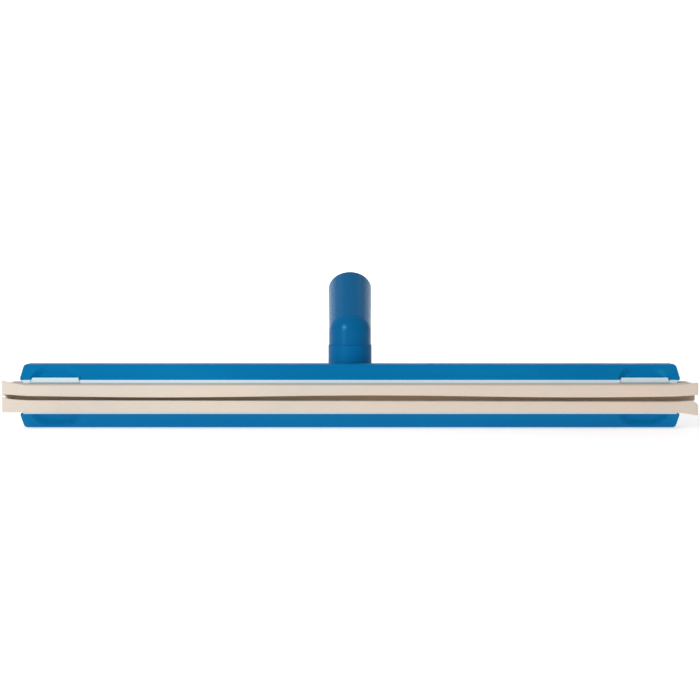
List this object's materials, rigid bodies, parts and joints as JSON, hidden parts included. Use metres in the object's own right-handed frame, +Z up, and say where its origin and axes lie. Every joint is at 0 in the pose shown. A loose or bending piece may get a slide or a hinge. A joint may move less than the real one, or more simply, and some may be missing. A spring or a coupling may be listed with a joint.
{
  "type": "double-blade floor squeegee head",
  "caption": "Floor squeegee head with a swivelling handle socket, a pull-out cassette and a pair of cellular-rubber blades with a slit between them.",
  "frame": {"origin": "middle of the bounding box at the surface the head lies on", "axes": "+X along the blades, +Y from the blade tips to the handle socket, +Z up with the head lying on its lower flank"},
  "size_m": [0.5, 0.114, 0.1154],
  "materials": {
    "frame_blue": "satin",
    "neck_blue": "satin",
    "cassette_white": "satin",
    "blade_rubber": "matte",
    "steel": "satin",
    "bush_plastic": "satin",
    "seal_rubber": "matte"
  },
  "bodies": {
    "frame": {"frame": "frame_blue", "upper_bush": "bush_plastic", "lower_bush": "bush_plastic", "thrust_washer": "bush_plastic", "neck_seal": "seal_rubber", "hub_cap": "frame_blue", "detent_ball": "steel", "detent_spring": "steel"},
    "neck": {"neck": "neck_blue", "swivel_shaft": "steel", "spring_plate": "steel", "neck_spring": "steel", "lock_nut": "steel"},
    "cassette": {"cassette_rail_upper": "cassette_white", "cassette_rail_lower": "cassette_white", "blade_spacer": "blade_rubber", "cassette_pins": "steel", "blade_upper": "blade_rubber", "blade_lower": "blade_rubber"},
    "tab_left": {"release_tab_left": "cassette_white"},
    "tab_right": {"release_tab_right": "cassette_white"}
  },
  "joints": [
    {"name": "neck_swivel", "type": "hinge", "parent": "frame", "child": "neck", "pos_m": [0, 0.00396, 0.0705], "axis": [0, 0, 1], "range_deg": [-90, 90]},
    {"name": "cassette_slide", "type": "slide", "parent": "frame", "child": "cassette", "axis": [0, -1, 0], "range_m": [0, 0.03]},
    {"name": "tab_left_press", "type": "hinge", "parent": "cassette", "child": "tab_left", "pos_m": [-0.2155, -0.02054, 0.0358], "axis": [1, 0, 0], "range_deg": [0, 4], "stiffness_Nm_per_rad": 0.02},
    {"name": "tab_right_press", "type": "hinge", "parent": "cassette", "child": "tab_right", "pos_m": [0.2155, -0.02054, 0.0358], "axis": [1, 0, 0], "range_deg": [0, 4], "stiffness_Nm_per_rad": 0.02}
  ]
}
